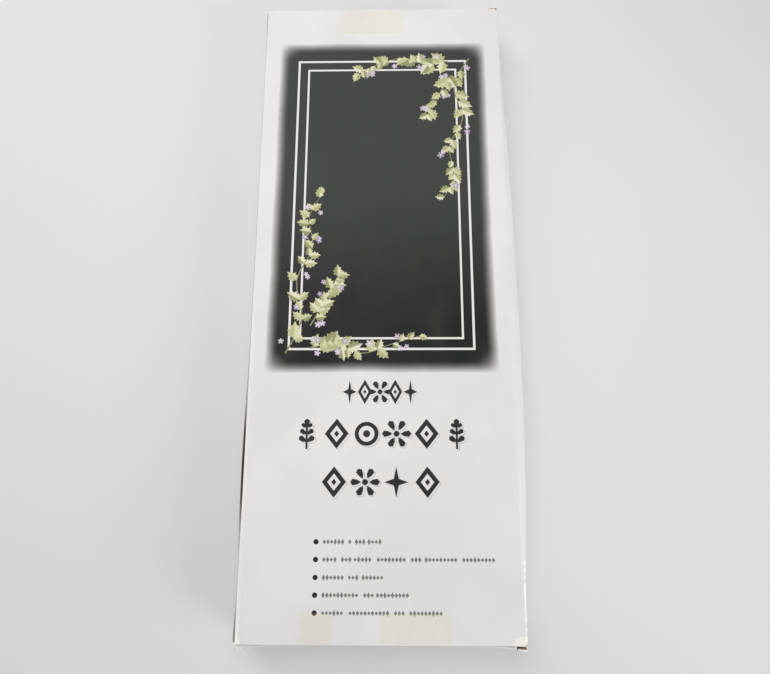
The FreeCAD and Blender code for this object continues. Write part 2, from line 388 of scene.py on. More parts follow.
def makeBoard(lines, shares, place, coreRows=2, width=None, coated=True, core=None):
    # Outer liner, fluted core and inner liner; core holds lines and a place for the flutes alone.
    bm = bmesh.new()
    if coated:
        addSlab(bm, lines, shares, place, 0.0, liner, (0, 1, 0))
    addSlab(bm, lines, shares, place, board - liner, board, (1, 1, 3))
    coreLines, corePlace = core or (lines, place)
    addCore(bm, coreLines, coreRows, corePlace, width or lines[-1][0] - lines[0][0])
    return bm


# Worn corners: x, y, how far the wear reaches, how much it is, and its squeeze along Y.
wear = {
    "corners": [(outerRight - 4, -frontEnd, 10.5, 1.0, 0.9), (frontLeft + 0.5, -frontEnd, 6.7, 0.85, 0.5),
                (outerRight - 3, frontEnd, 4.0, 0.7, 0.9), (frontLeft, frontEnd, 3.5, 0.6, 0.9)],
    "nicks": 0.55, "nickWidth": 9.0, "nickDepth": (0.2, 1.6), "height": 8.0,
}


def cornerWear(x, y, z):
    # The coat is worn off at the front's corners and nicked along its ends.
    nick = ease(0.1, 0.5, rough(x, copysign(50, y), wear["nickWidth"], 3.0))
    worst = wear["nicks"] * nick * (1 - ease(*wear["nickDepth"], frontEnd - abs(y)))
    for cornerX, cornerY, reach, much, squeeze in wear["corners"]:
        away = hypot(x - cornerX, (y - cornerY) * squeeze)
        worst = max(worst, much * (1 - ease(reach * 0.3, reach, away)))
    return worst if z > top - wear["height"] else 0.0


def seal(obj, body, node):
    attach(obj, body)
    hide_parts(node)


# Painted highlights on the coat: how much shows on the free edge, with its changes along Y; on the right
# crease, each painted glint's middle and half length along Y, and how far out it starts.
shine = {
    "much": 0.5, "farther": (-0.4, -60, 40), "nearest": (0.3, -255, -280), "edge": (0.6, 2.4),
    "glints": [(-241.6, 2.2), (-247.6, 1.9), (-252.8, 1.7), (-272.5, 15.5), (-293.0, 1.6)],
    "start": 2.1, "closer": (-1.05, -252, -262), "soft": 0.6,
}


def change(much, a, b, y):
    return much * ease(a, b, y)


def rubbed(x, y, z):
    # Painted highlight: the coat is painted near-white where it is bent over, on the free edge and the right
    # crease.
    much = shine["much"] + change(*shine["farther"], y) + change(*shine["nearest"], y)
    freeEdge = much * (1 - ease(*shine["edge"], x - frontLeft)) * ease(top - 1.5, top - 1, z)
    along = max(1 - ease(half - 1.2, half + 0.4, abs(y - middle)) for middle, half in shine["glints"])
    start = creaseX + shine["start"] + change(*shine["closer"], y)
    return max(freeEdge, along * ease(start, start + shine["soft"], x) * ease(top - 10, top - 7, z))


def setCoat(obj, coats):
    # Worn, bare and painted-highlight shares at each point, from functions of the place in millimetres; bare
    # also holds painted shade.
    spots = [[c / mm for c in vertex.co] for vertex in obj.data.vertices]
    for label in ("wear", "bare", "rub"):
        values = obj.data.attributes.new(label, "FLOAT", "POINT")
        if label in coats:
            values.data.foreach_set("value", [coats[label](*spot) for spot in spots])


def finishBoard(name, bm, body, node, slotName="white_board", outer=whiteBoard, **coats):
    obj = newObject(name + "_board", bm, [outer] + boardMaterials[1:])
    setCoat(obj, coats)
    seal(obj, body, node)


# The front's crushed corners, rolled free edge, rounded corners and wavy ends.

crush = {
    "corners": [(outerRight, -frontEnd, 1.0), (frontLeft, -frontEnd, 0.8), (frontLeft, frontEnd, 0.4)],
    "reach": 13.0, "depth": 0.7, "edgeRoll": 0.35, "edgeReach": 2.2, "leftRadius": 1.5, "rightRadius": 4.0,
    "nearWave": 0.55, "farWave": 0.1925, "waveLength": 34.0, "waveReach": 9.0, "dip": 0.35, "dipReach": 4.0,
    "stiffened": 8.0,
}


def frontPlace(x, y, depth):
    lowered = 0.0
    for cornerX, cornerY, much in crush["corners"]:
        away = hypot(x - cornerX, y - cornerY)
        lowered = max(lowered, crush["depth"] * much * (1 - ease(0, crush["reach"], away)))
    lowered *= ease(0.0, 6.0, creaseX - x)
    lowered = max(lowered, crush["edgeRoll"] * (1 - ease(0, crush["edgeReach"], x - frontLeft)))
    toEnd = frontEnd - abs(y)
    wave = crush["nearWave" if y < 0 else "farWave"]
    wave *= 0.5 + 0.5 * rough(x, copysign(40, y), crush["waveLength"], 1.0)
    wave *= ease(0, crush["stiffened"], creaseX - x)
    lowered += crush["dip"] * wave * (1 - ease(0, crush["dipReach"], toEnd))
    inward = wave * (1 - ease(0, crush["waveReach"], toEnd))
    return x, y - copysign(inward, y), top - depth - lowered * (1 - depth / board)


def roundOff(inside, radius):
    # How far a rounded corner pulls an edge in, this far inside its arc.
    return radius - sqrt(max(radius ** 2 - inside ** 2, 0.0)) if inside > 0 else 0.0


def frontEndAt(x):
    corners = ((frontLeft, crush["leftRadius"]), (outerRight, crush["rightRadius"]))
    return frontEnd - sum(roundOff(radius - abs(x - edge), radius) for edge, radius in corners)


def frontLines():
    xs = [frontLeft + d for d in (0, 0.15, 0.5, 1.0, 1.5, 2.3)]
    xs += spread(frontLeft + 6, creaseX - 2, 40) + [creaseX]
    return [(x, -frontEndAt(x), frontEndAt(x)) for x in xs]


def circle(x, y, radius, count):
    turns = spread(0, 2 * pi, count)[:-1]
    return [(x + radius * cos(a), y + radius * sin(a)) for a in turns]


def rotated(points, x, y, angle, scale=1.0):
    c, s = cos(angle) * scale, sin(angle) * scale
    return [(x + px * c - py * s, y + px * s + py * c) for px, py in points]


def ribbon(points, width):
    # A closed outline along a line; width is one number, or one for each point.
    widths = width if isinstance(width, list) else [width] * len(points)
    leftSide, rightSide = [], []
    for i, ((x, y), wide) in enumerate(zip(points, widths)):
        (ax, ay), (bx, by) = points[max(i - 1, 0)], points[min(i + 1, len(points) - 1)]
        length = hypot(bx - ax, by - ay)
        nx, ny = (ay - by) / length * wide / 2, (bx - ax) / length * wide / 2
        leftSide.append((x + nx, y + ny))
        rightSide.append((x - nx, y - ny))
    return leftSide + rightSide[::-1]


def mirrored(half):
    return half + [(x, -y) for x, y in half[-2:0:-1]]


leafShape = mirrored([(0, 0), (0.1, 0.12), (0.2, 0.36), (0.33, 0.24), (0.47, 0.4), (0.56, 0.22),
                      (0.72, 0.27), (0.76, 0.12), (1.0, 0.0)])
petalShape = mirrored([(0, 0), (0.35, 0.22), (0.8, 0.3), (1.0, 0.0)])
motif = {
    "leaf": ["#C8CA9A", "#D4D5AA", "#CCCDA0", "#DEDDBE"], "veinInk": "#DEDDC0", "stem": "#8E8F68",
    "shade": ["#AEB080", "#94976B", "#BABB8B"], "line": "#EDEBE7", "heart": "#E6E0D8",
    "blossoms": ["#C2B4C8", "#B09FB8", "#D2C8D5"], "vein": [(0.08, 0.0), (0.5, 0.015), (0.85, 0.0)],
    "leafSize": 13.0, "noLeaf": 0.5,
    "frames": [(-85, -58, 84, 243, 2.1), (-75, -48, 74, 233, 1.9)],
    "stems": [
        [(-88, -62), (-74, -30), (-80, 8), (-66, 40), (-70, 72), (-58, 96)],
        [(-66, -57), (-44, -53), (-18, -62), (10, -53), (34, -46)],
        [(88, 246), (72, 214), (80, 178), (66, 146), (70, 116), (60, 92)],
        [(66, 243), (46, 239), (20, 247), (-8, 238), (-28, 228)],
        [(-66, -36), (-56, -18), (-48, 0), (-40, 14)],
        [(70, 226), (60, 210), (52, 192), (40, 174)],
    ],
}


def spray(shapes, draw, path):
    # A stem with paired leaves and small clusters of blossoms along it.
    last = len(path) - 1
    shapes.append((ribbon(path, [1.5 - i / last for i in range(last + 1)]), motif["stem"], 0.9))
    for i, ((ax, ay), (bx, by)) in enumerate(zip(path, path[1:]), 1):
        heading = atan2(by - ay, bx - ax)
        for side in (-1, 1):
            if draw.random() < motif["noLeaf"]:
                continue
            angle = heading + side * draw.uniform(0.45, 1.25)
            size = motif["leafSize"] * draw.uniform(0.75, 1.25) * (1.1 - 0.4 * i / len(path))
            shaded = leafShape[:9] if side > 0 else leafShape[8:] + leafShape[:1]
            for shape, tones in ((leafShape, "leaf"), (shaded, "shade")):
                shapes.append((rotated(shape, bx, by, angle, size), draw.choice(motif[tones]), 1.0))
            vein = rotated(motif["vein"], bx, by, angle, size)
            shapes.append((ribbon(vein, [0.5, 0.4, 0.2]), motif["veinInk"], 0.7))
        for _ in range(draw.randint(1, 3) if i % 4 == 1 else 0):
            reach = draw.uniform(5, 10)
            angle = heading + draw.choice((-1, 1)) * draw.uniform(0.7, 1.9)
            cx, cy = bx + reach * cos(angle), by + reach * sin(angle)
            tone = draw.choice(motif["blossoms"])
            size = draw.uniform(2.4, 3.6)
            turn = draw.uniform(0, 1)
            for k in range(5):
                shapes.append((rotated(petalShape, cx, cy, turn + k * 2 * pi / 5, size), tone, 1.0))
            shapes.append((circle(cx, cy, size * 0.26, 7), motif["heart"], 1.0))


def curve(points, count):
    # A smooth line through a few points.
    out = []
    line = points[:1] + points + points[-1:]
    for p, q, r, s in zip(line, line[1:], line[2:], line[3:]):
        for t in spread(0, 1, count)[:-1]:
            out.append([(2 * q[a] + (r[a] - p[a]) * t + (2 * p[a] - 5 * q[a] + 4 * r[a] - s[a]) * t * t
                         + (3 * q[a] - p[a] - 3 * r[a] + s[a]) * t ** 3) / 2 for a in (0, 1)])
    return out + [points[-1]]


def pictureShapes():
    # A plain double-line frame with sprays of leaves and blossoms in opposite corners.
    shapes = []
    draw = random.Random(41)
    for x0, y0, x1, y1, width in motif["frames"]:
        corners = [(x0, y0), (x1, y0), (x1, y1), (x0, y1), (x0, y0)]
        for (ax, ay), (bx, by) in zip(corners, corners[1:]):
            dx = copysign(width / 2 if ay == by else 0, bx - ax)
            dy = copysign(width / 2 if ax == bx else 0, by - ay)
            line = ribbon([(ax - dx, ay - dy), (bx + dx, by + dy)], width)
            shapes.append((line, motif["line"], 0.95))
    for stem in motif["stems"]:
        spray(shapes, draw, curve(stem, 4))
    return shapes


heading = {
    "ink": "#1A1A1E", "outline": "#86858A", "offset": (1.5, -1.35), "line": 0.45,
    "rows": [(-1.5, -97.2, 11.0, 6.2, 13.6, ("star", "lozenge", "rosette", "lozenge", "star")),
             (0.0, -134.3, 13.2, 10.5, 26.4, ("sprig", "lozenge", "ring", "rosette", "lozenge", "sprig")),
             (-0.7, -175.7, 13.2, 10.5, 27.0, ("lozenge", "rosette", "star", "lozenge"))],
}
starShape = [(r * cos(pi * k / 4), r * sin(pi * k / 4)) for k, r in enumerate([1.0, 0.3] * 4)]


def ornament(kind, x, y, half, wide):
    # The outlines, with 1 for the inked ones and 0 for the bare ones inside them.
    if kind == "lozenge":
        sizes = ((1, 1), (0.55, 0), (0.22, 1))
        return [(lozenge(x, y, wide * size, half * size), inked) for size, inked in sizes]
    if kind == "star":
        return [([(x + px * wide, y + py * half) for px, py in starShape], 1)]
    if kind == "ring":
        rings = ((1, 28, 1), (0.66, 24, 0), (0.3, 16, 1))
        return [(circle(x, y, min(wide, half) * share, count), inked) for share, count, inked in rings]
    if kind == "sprig":
        out = [(ribbon([(x, y - half), (x, y + half * 0.5)], half * 0.13), 1)]
        for level, size in ((-0.55, 0.62), (-0.05, 0.55), (0.4, 0.45)):
            for angle in (pi / 2 - 0.95, pi / 2 + 0.95):
                out.append((rotated(petalShape, x, y + level * half, angle, half * size), 1))
        return out + [(rotated(petalShape, x, y + half * 0.35, pi / 2, half * 0.65), 1)]
    out = [(circle(x, y, half * 0.2, 14), 1)]
    for turn in (k * pi / 3 for k in range(6)):
        cx, cy = x + half * 0.26 * cos(turn), y + half * 0.26 * sin(turn)
        out.append((rotated(petalShape, cx, cy, turn, half * 0.72), 1))
    return out


def headingShapes():
    # Centred rows of plain ornaments, each with a thin pale outline set off to the lower right.
    shapes = []
    dx, dy = heading["offset"]
    for middle, y, half, wide, pitch, kinds in heading["rows"]:
        for i, kind in enumerate(kinds):
            drawn = ornament(kind, middle + (i - (len(kinds) - 1) / 2) * pitch, y, half, wide)
            for points, _ in drawn:
                moved = [(px + dx, py + dy) for px, py in points]
                shapes.append((moved, heading["outline"], 0.85))
                shapes.append((grown(moved, -heading["line"]), None, 0.0))
            for points, inked in drawn:
                shapes.append((points, heading["ink"] if inked else None, 0.985))
    return shapes


def signedArea(points):
    return sum(ax * by - bx * ay for (ax, ay), (bx, by) in zip(points, points[1:] + points[:1])) / 2


def grown(points, distance):
    # The outline moved out by a distance, or in if it is negative.
    outwards = distance if signedArea(points) > 0 else -distance
    out = []
    for i, (x, y) in enumerate(points):
        (ax, ay), (bx, by) = points[i - 1], points[(i + 1) % len(points)]
        length = hypot(bx - ax, by - ay)
        out.append((x + outwards * (by - ay) / length, y - outwards * (bx - ax) / length))
    return out


listed = {
    "ink": "#58595D", "dot": "#131316", "dotX": -55.3, "dotRadius": 2.2, "startX": -49.8, "height": 5.2,
    "pitch": 3.1, "width": 2.9, "gap": 2.6, "heights": (1.0, 0.8, 0.8, 0.65),
    "rows": [(-224.9, [19, 3, 8, 11]), (-239.1, [13, 8, 17, 26, 9, 29, 28]), (-253.3, [19, 9, 18]),
             (-267.1, [32, 8, 29]), (-280.9, [20, 35, 10, 29])],
}


def lozenge(x, y, wide, half):
    return [(x + wide, y), (x, y + half), (x - wide, y), (x, y - half)]


def listShapes():
    # Round bullets, each with a row of small lozenges in groups.
    shapes = []
    draw = random.Random(7)
    wide = listed["width"] / 2
    for y, words in listed["rows"]:
        shapes.append((circle(listed["dotX"], y, listed["dotRadius"], 20), listed["dot"], 0.985))
        x = listed["startX"]
        for word in words:
            for k in range(max(1, round(word / listed["pitch"]))):
                cx = x + (k + 0.5) * listed["pitch"]
                half = listed["height"] / 2 * draw.choice(listed["heights"])
                shapes.append((lozenge(cx, y, wide, half), listed["ink"], 0.85))
            x += word + listed["gap"]
    return shapes


def frontPoints(lines):
    # The top liner's outline, and the points inside it.
    high = [(x, y) for x, _, y in lines]
    low = [(x, -y) for x, y in high]
    rightSide = [(creaseX, y) for y in spread(low[-1][1], high[-1][1], 60)]
    leftSide = [(frontLeft, y) for y in spread(high[0][1], low[0][1], 100)]
    outline = low[:-1] + rightSide[:-1] + high[:0:-1] + leftSide[:-1]
    ys = spread(-298, 298, 66) + [300.5, -300.5, 302.5, -302.5, 304.2, -304.2]
    xs = [frontLeft + d for d in (0.6, 1.3, 2.2, 4)] + spread(frontLeft + 8, creaseX - 4, 26)
    return outline, [(x, y) for x in xs for y in ys]


def frontPiece():
    lines = frontLines()
    shares = [0, 0.004, 0.01, 0.02] + spread(0.04, 0.96, 20) + [0.98, 0.99, 0.996, 1]
    bm = makeBoard(lines, shares, frontPlace, 9, coated=False)
    points, inside = frontPoints(lines)
    faces = [list(range(len(points)))]
    tones = [(None, 0.0)]
    for shape, tone, cover in pictureShapes() + headingShapes() + listShapes():
        faces.append(list(range(len(points), len(points) + len(shape))))
        points += [(x + middleX, y) for x, y in (shape if signedArea(shape) > 0 else shape[::-1])]
        tones.append((tone, cover))
    points = [Vector(p) for p in points + inside]
    verts, _, triangles, _, _, sources = delaunay_2d_cdt(points, [], faces, 1, 1e-4)
    upper = [bm.verts.new(toMetres(frontPlace(*p, 0.0))) for p in verts]
    layer = bm.loops.layers.float_color.new("ink")
    made = []
    for triangle, source in zip(triangles, sources):
        face = bm.faces.new([upper[i] for i in triangle])
        tone, cover = tones[max(source)]
        for loop in face.loops:
            loop[layer] = linearColour(tone, cover) if tone else (0.0,) * 4
        made.append(face)
    madeSet = set(made)
    rim = [e for e in bm.edges if len(e.link_faces) == 1 and e.link_faces[0] in madeSet]
    walls = bmesh.ops.extrude_edge_only(bm, edges=rim)["geom"]
    lower = {v for v in walls if isinstance(v, bmesh.types.BMVert)}
    for v in lower:
        v.co.z -= liner * mm
    lowerEdges = [e for e in bm.edges if lower.issuperset(e.verts)]
    caps = bmesh.ops.contextual_create(bm, geom=lowerEdges)["faces"]
    for face in caps:
        face.material_index = 1
    made += [f for f in walls if isinstance(f, bmesh.types.BMFace)] + caps
    bmesh.ops.recalc_face_normals(bm, faces=made)
    finishBoard("front", bm, "root", "front_panel", "printed_front", printedFront,
                wear=cornerWear, rub=rubbed)


frontPiece()
print("front made")


# The right side's bulge.

bulge = {"lean": 50.0, "fullestAt": -70.0, "fullness": 2.5, "flat": 0.5, "cornerRadius": 4.0}


def cornerPull(x, y):
    # The right corners of the carton are rounded in plan.
    radius = bulge["cornerRadius"]
    return -roundOff(abs(y) - frontEnd + radius, radius) * ease(creaseX - 1, outerRight, x)


def leanAt(y):
    away = y - bulge["fullestAt"]
    share = min(away / (copysign(sideEnd, away) - bulge["fullestAt"]), 1)
    return max(bulge["lean"] * (1 - share ** bulge["fullness"]), bulge["flat"])


def onArc(x, z, radius, angle):
    a = radians(angle)
    return x + radius * cos(a), z + radius * sin(a)


def rightPlace(u, y, depth):
    # u runs from 0 to 3: round the front's crease, down the bulged wall, round the back's crease.
    lean = leanAt(y)
    half = top / 2
    radius = (half - foldRadius) / sin(radians(lean)) + foldRadius
    if u < 1:
        x, z = onArc(creaseX, top - foldRadius, foldRadius - depth, 90 + (lean - 90) * u)
    elif u < 2:
        centreX = creaseX + (foldRadius - radius) * cos(radians(lean))
        x, z = onArc(centreX, half, radius - depth, lean * (3 - 2 * u))
    else:
        x, z = onArc(creaseX, foldRadius, foldRadius - depth, (lean - 90) * (u - 2) - lean)
    return x + cornerPull(x, y), y, z


leftSeam = {"gape": 1.77, "gapeAt": -160.0, "gapeHalf": 130.0, "bottomCorner": 1.2, "topCorner": 0.5,
            "cornerAt": (262, 302), "rawShadeHeight": (5.4, 4.2), "rawShadeToEnds": (215, 262)}


def gape(y):
    share = (y - leftSeam["gapeAt"]) / leftSeam["gapeHalf"]
    middle = leftSeam["gape"] * max(1 - share * share, 0) ** 2
    corner = leftSeam["topCorner" if y > 0 else "bottomCorner"]
    return middle + corner * ease(*leftSeam["cornerAt"], abs(y))


def leftPlace(u, y, depth):
    # u runs from 0 to 3: round the back's crease, up the wall, round the glue flap's crease.
    shift = gape(y)
    upper = top - board - foldRadius
    side = 180 + degrees(atan2(shift, upper - foldRadius))
    x0, r = backLow[0], foldRadius - depth
    if u < 1:
        x, z = onArc(x0, foldRadius, r, 270 + (side - 270) * u)
    elif u < 2:
        (ax, az), (bx, bz) = onArc(x0, foldRadius, r, side), onArc(x0 - shift, upper, r, side)
        x, z = ax + (bx - ax) * (u - 1), az + (bz - az) * (u - 1)
    else:
        x, z = onArc(x0 - shift, upper, r, side + (90 - side) * (u - 2))
    return x, y, z


def sideLines(fromTop):
    # Where a dust flap folds on, the side ends at the fold's start.
    wall = top - 2 * foldRadius
    folds = [1 + (top - foldRadius - z) / wall for z in (dustHigh[2], dustLow[2])]
    if not fromTop:
        folds = [3 - u for u in folds[::-1]]
    us = spread(0, 1, 7) + spread(1, 2, 24)[1:] + spread(2, 3, 7)[1:]
    us += [u + d for u in folds for d in (-0.002, 0.002)]
    lines = []
    for u in sorted(us):
        end = dustLow[1] if folds[0] < u < folds[1] else sideEnd
        lines.append((u, -end, end))
    return lines


def alongSide(fine):
    # The right crease has more points where its coat is rubbed.
    low = spread(0.012, 0.116, 66) if fine else spread(0.02, 0.116, 4)
    return [0, 0.002, 0.005, 0.01] + low + spread(0.14, 0.98, 35) + [0.99, 0.995, 0.998, 1]


def sidePiece(name, place, fromTop, **coats):
    # Flutes keep their pitch: the creases take 3 mm of the girth each and the wall the rest.
    lines = sideLines(fromTop)
    edge = 3 / top
    even = [(0, 0), (edge, 1), (1 - edge, 2), (1, 3)]

    def evenPlace(share, v, depth):
        return place(valuesAlong(even, share)[0], v, depth)

    girth = [(u, share) for share, u in even]
    evenLines = [(valuesAlong(girth, u)[0], low, high) for u, low, high in lines]
    bm = makeBoard(lines, alongSide(fromTop), place, 22, top, core=(evenLines, evenPlace))
    finishBoard(name, bm, "root", name + "_panel", **coats)


sidePiece("right_side", rightPlace, True, wear=cornerWear, rub=rubbed)

# How much painted shade darkens the left seam's raw fold, along Y.

seamDark = [(-306, 0.7), (-290, 0.6), (-280, 0.48), (-270, 0.28), (-258, 0.12), (-240, 0.1), (-222, 0.3),
            (-208, 0.65), (-190, 0.95), (-158, 1.0), (-130, 0.92), (-104, 0.5), (-86, 0.42), (-11, 0.4),
            (40, 0.38), (90, 0.3), (177, 0.2), (246, 0.25), (270, 0.4), (290, 0.5), (306, 0.5)]


def seamBare(x, y, z):
    # The fold is raw brown board darkened with painted shade where the seam gapes, down to a white outermost
    # line.
    toEnds = ease(*leftSeam["rawShadeToEnds"], abs(y))
    high, low = leftSeam["rawShadeHeight"]
    inwards = ease(0.15 - 0.2 * toEnds, 0.55 - 0.4 * toEnds, x - (outerLeft - gape(y)))
    return valuesAlong(seamDark, y)[0] * inwards * ease(top - high, top - low, z)


sidePiece("left_side", leftPlace, False, bare=seamBare)

backLines = [(x, -backEnd, backEnd) for x in spread(backLow[0], backHigh[0], 24)]
backBoard = makeBoard(backLines, spread(0, 1, 40), lambda x, y, depth: (x, y, depth))
finishBoard("back", backBoard, "root", "back_panel")

glueHigh = boxMm("glue_flap")[1]
glueWidth = glueHigh[0] - backLow[0]
glue = {"taper": 18.0, "gap": 0.15}


def gluePlace(share, y, depth):
    start = backLow[0] - gape(y) + glue["gap"]
    return start + (glueHigh[0] - start) * share, y, top - board - depth


glueLines = []
for share in spread(0, 1, 12):
    end = glueHigh[1] - glue["taper"] * max(glueWidth * share - board, 0) / glueWidth
    glueLines.append((share, -end, end))
glueBoard = makeBoard(glueLines, spread(0, 1, 60), gluePlace, 22, glueWidth)
finishBoard("glue_flap", glueBoard, "root", "glue_flap", "bare_board", kraftLiner)
print("sleeve made")


# The ends' sprung corners, hinge, notches, tongues, torn lip, wear, painted shade line and dust flaps.

ends = {
    "springs": {"top": (0.6, 4.2), "bottom": (4.2, 4.2)}, "springRun": 50.0, "springPower": 1.35,
    "axisZ": 0.9, "notchPlay": 0.8, "notchDepth": 0.15, "tuckReach": 18.0, "tuckCorner": 10.0,
    "capReach": 1.45, "capFilm": 0.25, "lipFull": 10.45, "lipRun": 19.0, "lipEnd": 305.75,
    "shoulderRound": 1.2, "wear": 0.8, "wearRun": (1.0, 7.0), "wearHeight": (4.0, 0.5),
    "shadeLine": 0.3, "shadeLineAt": (78, 88, 102, 108), "shadeLineY": -306.2, "dustTaper": 5.0, "dustCorner": 6.0,
    "dustMiddle": 20,
}
closureLeft, closureRight = closureLow[0], closureHigh[0]
closureFace = frontEnd + 0.4
closureInside = closureFace - board
shoulderTop = closureHigh[2]
tuckLeft, tuckRight, tuckUnder = tuckLow[0], tuckHigh[0], tuckLow[2]


def springAt(x, z, end):
    # How far a closure's corner has sprung outwards at this place.
    share = min(max((z - ends["axisZ"]) / (shoulderTop - ends["axisZ"]), 0), 1)
    sprung = 0.0
    for spring, inside in zip(ends["springs"][end], (x - closureLeft, closureRight - x)):
        sprung += spring * max(1 - inside / ends["springRun"], 0) ** ends["springPower"]
    return sprung * share


def arcSteps(radius, first, step):
    return [radius * (1 - cos(radians(a))) for a in range(first, 91, step)]


def closurePiece(end, sign):
    notchLeft, notchRight = tuckLeft - ends["notchPlay"], tuckRight + ends["notchPlay"]

    def place(x, z, depth):
        return x, sign * (closureFace - depth + springAt(x, z, end)), z

    def highAt(x):
        # The shoulders' outer corners are slightly rounded.
        if notchLeft + 1 < x < notchRight:
            return tuckUnder - ends["notchDepth"]
        return shoulderTop - 0.6 * max(ends["shoulderRound"] - min(x - closureLeft, closureRight - x), 0) ** 2

    def capPlace(x, share, depth):
        # The liner rounds over the crushed edge; at the bottom left a torn lip bridges the gap.
        spring = springAt(x, highAt(x), end)
        reach = ends["capReach"]
        if end == "bottom" and x < closureLeft + ends["lipRun"]:
            ragged = x - closureLeft + 3 * rough(x, 0, 4, 5)
            torn = 1 - ease(ends["lipFull"], ends["lipRun"], ragged)
            reach += (closureFace + spring - ends["lipEnd"] - reach) * torn
        inward = share * reach
        lowered = 0.25 * max(1 - inward / 0.5, 0) ** 2 + 0.05 * max(inward - 2.5, 0)
        return x, sign * (closureFace + spring - inward), highAt(x) - lowered - depth

    run = ends["springRun"]
    xs = spread(closureLeft, notchLeft, 4) + [notchLeft + 0.01] + spread(notchLeft + 3, closureLeft + run, 12)
    xs += spread(closureLeft + run + 10, closureRight - run - 10, 10)
    xs += spread(closureRight - run, notchRight - 3, 12) + [notchRight - 0.01]
    xs += spread(notchRight, closureRight, 4)
    lines = [(x, ends["axisZ"], highAt(x) - (0 if notchLeft < x < notchRight else 0.3)) for x in xs]
    bm = makeBoard(lines, spread(0, 1, 10), place, 6)
    firstEnd = tuckLeft - 0.05 if end == "bottom" else notchLeft
    for a, b in ((closureLeft, firstEnd), (notchRight, closureRight)):
        capLines = [(x, 0.0, 1.0) for x in spread(a, b, 12)]
        addSlab(bm, capLines, spread(0, 1, 10), capPlace, 0.0, ends["capFilm"], (0, 0, 0))

    def worn(x, y, z):
        low, high = ends["wearHeight"]
        across = 1 - ease(*ends["wearRun"], closureRight - x)
        return ends["wear"] * across * ease(shoulderTop - low, shoulderTop - high, z)

    name = end + "_closure"
    finishBoard(name, bm, name, name, wear=worn)


def tuckPiece(end, sign):
    reach, corner = ends["tuckReach"], ends["tuckCorner"]

    def place(x, v, depth):
        fold = closureInside + springAt(x, tuckUnder, end)
        return x, sign * (fold + (closureInside - reach - fold) * v / reach), tuckHigh[2] - depth

    def paintedTuckShade(x, y, z):
        # Painted shade: a dark line on the tongue beside the front's end, near the sprung corner.
        along = ease(*ends["shadeLineAt"][:2], x) * (1 - ease(*ends["shadeLineAt"][2:], x))
        across = 1 - ease(0.3, 1.0, abs(y - ends["shadeLineY"]))
        return ends["shadeLine"] * along * across * ease(tuckUnder, tuckHigh[2], z)

    steps = arcSteps(corner, 0, 9)
    xs = [tuckLeft + d for d in steps] + spread(tuckLeft + 14, tuckRight - 14, 50)
    xs += [tuckRight - d for d in steps[::-1]]
    lines = [(x, 0.0, reach - roundOff(corner - min(x - tuckLeft, tuckRight - x), corner)) for x in xs]
    bm = makeBoard(lines, spread(0, 0.16, 8) + spread(0.25, 1, 6), place, 4)
    finishBoard(end + "_tuck", bm, end + "_tuck", end + "_tuck_flap", bare=paintedTuckShade)


def dustSpot(end, side):
    # A dust flap's box, which way its side faces, and its folded edge.
    low, high = boxMm(f"{end}_{side}_dust_flap")
    return (low, high, 1, high[0]) if side == "right" else (low, high, -1, low[0])


def dustPiece(end, sign, side):
    low, high, toward, rootX = dustSpot(end, side)
    reach = high[0] - low[0]
    outerY = max(abs(low[1]), abs(high[1]))
    taper, corner = ends["dustTaper"], ends["dustCorner"]

    def place(z, v, depth):
        return rootX - toward * v, sign * (outerY - depth), z

    def tipAt(z):
        edge = min(z - low[2], high[2] - z)
        if edge < taper:
            return max(min(reach * edge / taper, reach - corner), 0.3)
        return reach - roundOff(corner + taper - edge, corner)

    zs = spread(low[2], low[2] + taper, 8) + [low[2] + taper + d for d in arcSteps(corner, 10, 10)]
    lines = [(z, 0.0, tipAt(z)) for z in zs + [low[2] + high[2] - z for z in zs[::-1]]]
    bm = makeBoard(lines, spread(0, 1, 6), place, 3)
    name = f"{end}_{side}_dust"
    finishBoard(name, bm, name, name + "_flap")


for end, sign in (("top", 1), ("bottom", -1)):
    closurePiece(end, sign)
    tuckPiece(end, sign)
    for side in ("left", "right"):
        dustPiece(end, sign, side)
print("ends made")


# The creases: skins of liner shaped round each fold, from one body to the other.

def foldSkin(name, along, place, thickness, start, end):
    # along lists places on the crease; place(a, share, depth) sweeps from one body to the other.
    bm = bmesh.new()
    addSlab(bm, [(a, 0.0, 1.0) for a in along], spread(0, 1, 12), place, 0.0, thickness, (0, 1, 1))
    obj = newObject(name + "_crease", bm, boardMaterials[:2], 60)
    setCoat(obj, {})
    tuple(toMetres(start))
    tuple(toMetres(end))
    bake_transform(obj)


